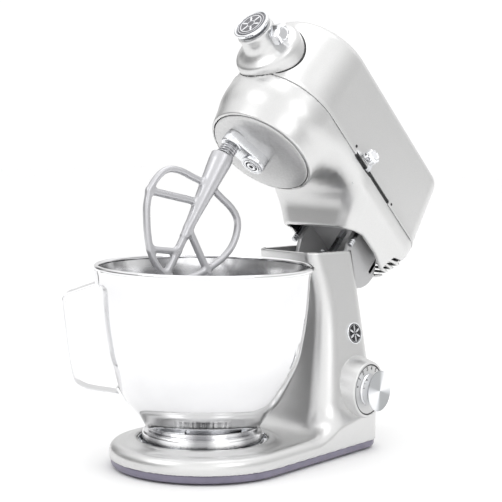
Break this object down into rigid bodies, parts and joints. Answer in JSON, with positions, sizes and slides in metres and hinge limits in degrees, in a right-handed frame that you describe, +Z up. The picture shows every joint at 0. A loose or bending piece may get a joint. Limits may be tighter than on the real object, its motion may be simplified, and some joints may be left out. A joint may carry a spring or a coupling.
{
  "type": "stand mixer",
  "caption": "Tilt-head stand mixer with a steel bowl, flat beater, planetary drive, side speed knob and a front attachment hub, shown with its head raised.",
  "frame": {"origin": "centre of the object's footprint at the table surface, with the head raised", "axes": "+Z up; -Y to the front, where the bowl stands; +X towards the side with the speed knob"},
  "size_m": [0.2203, 0.418, 0.4572],
  "materials": {
    "housing_silver": "satin silver metallic paint",
    "sole_purple_grey": "satin moulded",
    "rubber_black": "matte",
    "steel_plain": "satin",
    "steel_polished": "polished outside, brushed inside",
    "chrome_bright": "mirror",
    "spun_aluminium": "spun",
    "dial_grey": "satin",
    "plastic_dark": "satin moulded",
    "plastic_black": "matte",
    "circuit_green": "solder resist",
    "wire_blue": "gloss insulation",
    "emblem_dark": "gloss with a bright ring",
    "frame_grey": "satin moulded",
    "bronze": "sintered",
    "cast_grey": "die cast",
    "gear_steel": "ground",
    "gear_nylon": "moulded nylon",
    "motor_steel": "laminated",
    "carbon": "carbon",
    "copper": "lacquered copper",
    "beater_coat": "lavender-grey powder coat",
    "spring_dark": "oiled"
  },
  "bodies": {
    "base": {"base_housing": "housing_silver", "base_tray": "sole_purple_grey", "rubber_feet": "rubber_black", "tray_screws": "steel_plain", "clamp_plate": "steel_polished", "clamp_screws": "steel_plain", "hinge_bracket": "steel_plain", "hinge_pin": "gear_steel", "pin_clips": "spring_dark", "lock_strike": "steel_plain", "dial_bezel": "housing_silver", "number_ring": "dial_grey", "speed_switch": "plastic_dark", "control_board": "circuit_green", "wire_harness": "wire_blue", "cord_gland": "rubber_black", "column_emblem": "emblem_dark"},
    "speed_knob": {"knob_body": "chrome_bright", "knob_face": "spun_aluminium"},
    "mixing_bowl": {"bowl": "steel_polished", "bowl_handle": "steel_polished", "bowl_foot": "steel_polished"},
    "head": {"head_cover": "housing_silver", "head_housing": "housing_silver", "hub_collar": "housing_silver", "hub_socket": "cast_grey", "hinge_ears": "frame_grey", "hinge_bushes": "bronze", "neck_bumpers": "steel_plain", "gearbox_case": "cast_grey", "ring_gear": "gear_steel", "shaft_bearings": "gear_steel", "motor_stator": "motor_steel", "motor_brushes": "carbon", "head_screws": "steel_plain", "vent_grille": "plastic_black", "slot_guide": "plastic_black", "drive_belt": "rubber_black"},
    "lock_lever": {"lever_knob": "chrome_bright", "lever_slide": "steel_plain"},
    "latch": {"latch_hook": "steel_plain"},
    "planet_carrier": {"drip_disc": "housing_silver", "carrier_bar": "housing_silver", "centre_shaft": "gear_steel", "spur_gear": "gear_nylon", "centre_bevel": "gear_steel", "ring_screw": "steel_plain"},
    "beater_spindle": {"planet_pinion": "gear_steel", "beater_shaft": "gear_steel", "cross_pin": "gear_steel", "beater_spring": "spring_dark"},
    "beater": {"flat_beater": "beater_coat"},
    "motor_armature": {"motor_rotor": "copper", "motor_pulley": "cast_grey", "cooling_fan": "plastic_dark"},
    "layshaft": {"lay_shaft": "gear_steel", "lay_pulley": "plastic_dark"},
    "hub_drive": {"pto_drive": "gear_steel"},
    "hub_screw": {"thumb_screw": "chrome_bright"},
    "hub_plug": {"hub_cap": "chrome_bright"}
  },
  "joints": [
    {"name": "head_tilt", "type": "hinge", "parent": "base", "child": "head", "pos_m": [0, 0.066, 0.163], "axis": [1, 0, 0], "range_deg": [0, 44]},
    {"name": "speed_knob_turn", "type": "hinge", "parent": "base", "child": "speed_knob", "pos_m": [0.0784, 0.069, 0.0662], "axis": [0.9945, 0.1045, 0], "range_deg": [-240, 0]},
    {"name": "bowl_twist", "type": "hinge", "parent": "base", "child": "mixing_bowl", "pos_m": [0, -0.099, 0.03], "axis": [0, 0, 1], "range_deg": [0, 40]},
    {"name": "lever_slide", "type": "slide", "parent": "head", "child": "lock_lever", "axis": [0, 0.7193, -0.6947], "range_m": [-0.022, 0.044]},
    {"name": "latch_slide", "type": "slide", "parent": "head", "child": "latch", "axis": [0, 0.7193, -0.6947], "range_m": [-0.0112, 0.0056]},
    {"name": "planet_spin", "type": "hinge", "parent": "head", "child": "planet_carrier", "pos_m": [0, -0.01865, 0.31287], "axis": [0, 0.6947, 0.7193], "continuous": true},
    {"name": "beater_spin", "type": "hinge", "parent": "planet_carrier", "child": "beater_spindle", "pos_m": [-0.0122, -0.05365, 0.31608], "axis": [0, 0.6947, 0.7193], "continuous": true},
    {"name": "beater_hang", "type": "hinge", "parent": "beater_spindle", "child": "beater", "pos_m": [-0.0122, -0.06754, 0.30169], "axis": [-1, 0, 0], "range_deg": [0, 10.1]},
    {"name": "layshaft_spin", "type": "hinge", "parent": "head", "child": "layshaft", "pos_m": [0, 0.05246, 0.31093], "axis": [0, 0.6947, 0.7193], "continuous": true},
    {"name": "motor_spin", "type": "hinge", "parent": "head", "child": "motor_armature", "pos_m": [0, 0.13648, 0.25758], "axis": [0, 0.6947, 0.7193], "continuous": true},
    {"name": "hub_spin", "type": "hinge", "parent": "head", "child": "hub_drive", "pos_m": [0, 0.00954, 0.39964], "axis": [0, -0.7193, 0.6947], "continuous": true},
    {"name": "hub_screw_turn", "type": "hinge", "parent": "head", "child": "hub_screw", "pos_m": [0.025, -0.02499, 0.43298], "axis": [1, 0, 0], "range_deg": [0, 720]},
    {"name": "hub_plug_pull", "type": "slide", "parent": "head", "child": "hub_plug", "axis": [0, -0.7193, 0.6947], "range_m": [0, 0.022]}
  ],
  "couplings": [
    {"joint": "beater_spin", "follows": "planet_spin", "ratio": -3.1053},
    {"joint": "beater_hang", "follows": "head_tilt", "ratio": 0.22727},
    {"joint": "latch_slide", "follows": "lever_slide", "ratio": -0.25},
    {"joint": "layshaft_spin", "follows": "planet_spin", "ratio": -5},
    {"joint": "motor_spin", "follows": "planet_spin", "ratio": -22},
    {"joint": "hub_spin", "follows": "planet_spin", "ratio": 1}
  ]
}
